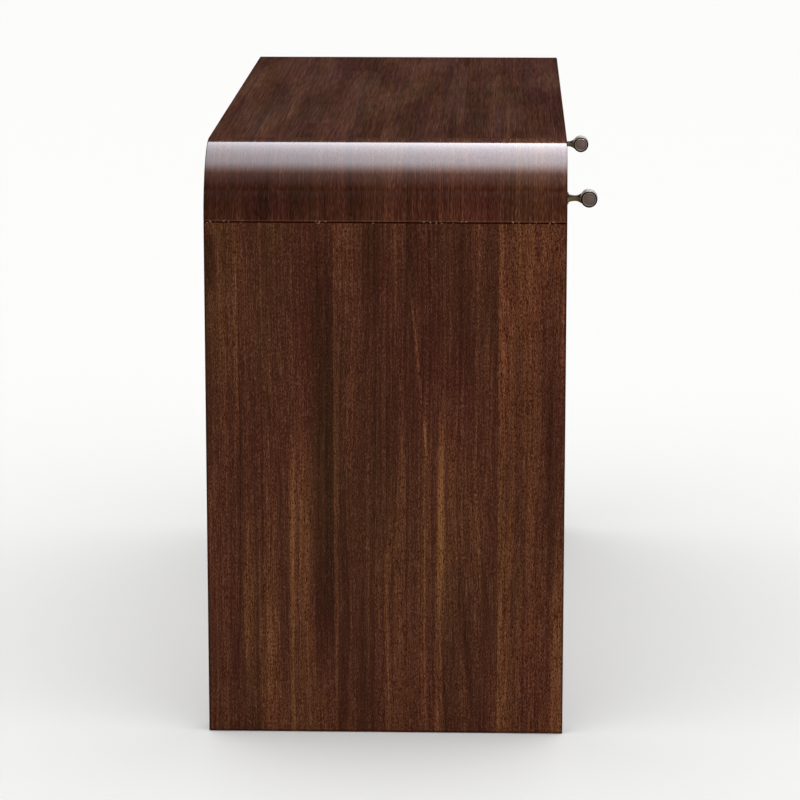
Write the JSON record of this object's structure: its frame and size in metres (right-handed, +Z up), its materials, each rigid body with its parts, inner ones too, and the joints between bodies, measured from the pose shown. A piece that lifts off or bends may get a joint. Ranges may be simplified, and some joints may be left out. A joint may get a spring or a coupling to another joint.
{
  "type": "dressing table",
  "caption": "Waterfall dressing table: a walnut top turns through rounded corners into slab sides, with side-by-side inset drawers on ball slides and barrel-headed knobs.",
  "frame": {"origin": "on the floor under the middle of the whole table, knobs included", "axes": "+X to the right as seen from the front, -Y out of the drawer fronts, +Z up"},
  "size_m": [1.1, 0.4944, 0.75],
  "materials": {
    "walnut_case": "gloss",
    "walnut_front": "gloss",
    "drawer_ash": "satin",
    "birch_ply": "satin",
    "beech_joinery": "matte",
    "bronze_knob": "polished",
    "zinc_steel": "satin",
    "screw_steel": "satin",
    "ball_steel": "polished",
    "nylon_glide": "matte"
  },
  "bodies": {
    "case": {"top_panel": "walnut_case", "corner_left": "walnut_case", "corner_right": "walnut_case", "side_left": "walnut_case", "side_right": "walnut_case", "shelf_panel": "walnut_case", "back_panel": "walnut_case", "divider": "walnut_case", "corner_tongues": "beech_joinery", "case_dowels": "beech_joinery", "floor_glides": "nylon_glide", "case_member_left_outer": "zinc_steel", "case_member_left_inner": "zinc_steel", "case_slide_screws_left": "screw_steel", "case_member_right_outer": "zinc_steel", "case_member_right_inner": "zinc_steel", "case_slide_screws_right": "screw_steel"},
    "left_drawer": {"front_left": "walnut_front", "box_front_left": "drawer_ash", "outer_wall_left": "drawer_ash", "inner_wall_left": "drawer_ash", "box_back_left": "drawer_ash", "drawer_floor_left": "birch_ply", "knob_left": "bronze_knob", "rosette_left": "bronze_knob", "knob_bolt_left": "screw_steel", "front_screws_left": "screw_steel", "drawer_member_left_outer": "zinc_steel", "drawer_member_left_inner": "zinc_steel", "drawer_slide_screws_left": "screw_steel"},
    "left_middle_members": {"middle_member_left_outer": "zinc_steel", "middle_member_left_inner": "zinc_steel"},
    "left_outer_cages": {"outer_cages_left": "zinc_steel", "outer_balls_left": "ball_steel"},
    "left_inner_cages": {"inner_cages_left": "zinc_steel", "inner_balls_left": "ball_steel"},
    "right_drawer": {"front_right": "walnut_front", "box_front_right": "drawer_ash", "outer_wall_right": "drawer_ash", "inner_wall_right": "drawer_ash", "box_back_right": "drawer_ash", "drawer_floor_right": "birch_ply", "knob_right": "bronze_knob", "rosette_right": "bronze_knob", "knob_bolt_right": "screw_steel", "front_screws_right": "screw_steel", "drawer_member_right_outer": "zinc_steel", "drawer_member_right_inner": "zinc_steel", "drawer_slide_screws_right": "screw_steel"},
    "right_middle_members": {"middle_member_right_outer": "zinc_steel", "middle_member_right_inner": "zinc_steel"},
    "right_outer_cages": {"outer_cages_right": "zinc_steel", "outer_balls_right": "ball_steel"},
    "right_inner_cages": {"inner_cages_right": "zinc_steel", "inner_balls_right": "ball_steel"}
  },
  "joints": [
    {"name": "left_drawer_slide", "type": "slide", "parent": "case", "child": "left_drawer", "axis": [0, -1, 0], "range_m": [0, 0.35]},
    {"name": "left_middle_members_slide", "type": "slide", "parent": "case", "child": "left_middle_members", "axis": [0, -1, 0], "range_m": [0, 0.175]},
    {"name": "left_outer_cages_slide", "type": "slide", "parent": "case", "child": "left_outer_cages", "axis": [0, -1, 0], "range_m": [0, 0.0875]},
    {"name": "left_inner_cages_slide", "type": "slide", "parent": "case", "child": "left_inner_cages", "axis": [0, -1, 0], "range_m": [0, 0.2625]},
    {"name": "right_drawer_slide", "type": "slide", "parent": "case", "child": "right_drawer", "axis": [0, -1, 0], "range_m": [0, 0.35]},
    {"name": "right_middle_members_slide", "type": "slide", "parent": "case", "child": "right_middle_members", "axis": [0, -1, 0], "range_m": [0, 0.175]},
    {"name": "right_outer_cages_slide", "type": "slide", "parent": "case", "child": "right_outer_cages", "axis": [0, -1, 0], "range_m": [0, 0.0875]},
    {"name": "right_inner_cages_slide", "type": "slide", "parent": "case", "child": "right_inner_cages", "axis": [0, -1, 0], "range_m": [0, 0.2625]}
  ],
  "couplings": [
    {"joint": "left_middle_members_slide", "follows": "left_drawer_slide", "ratio": 0.5},
    {"joint": "left_outer_cages_slide", "follows": "left_drawer_slide", "ratio": 0.25},
    {"joint": "left_inner_cages_slide", "follows": "left_drawer_slide", "ratio": 0.75},
    {"joint": "right_middle_members_slide", "follows": "right_drawer_slide", "ratio": 0.5},
    {"joint": "right_outer_cages_slide", "follows": "right_drawer_slide", "ratio": 0.25},
    {"joint": "right_inner_cages_slide", "follows": "right_drawer_slide", "ratio": 0.75}
  ]
}
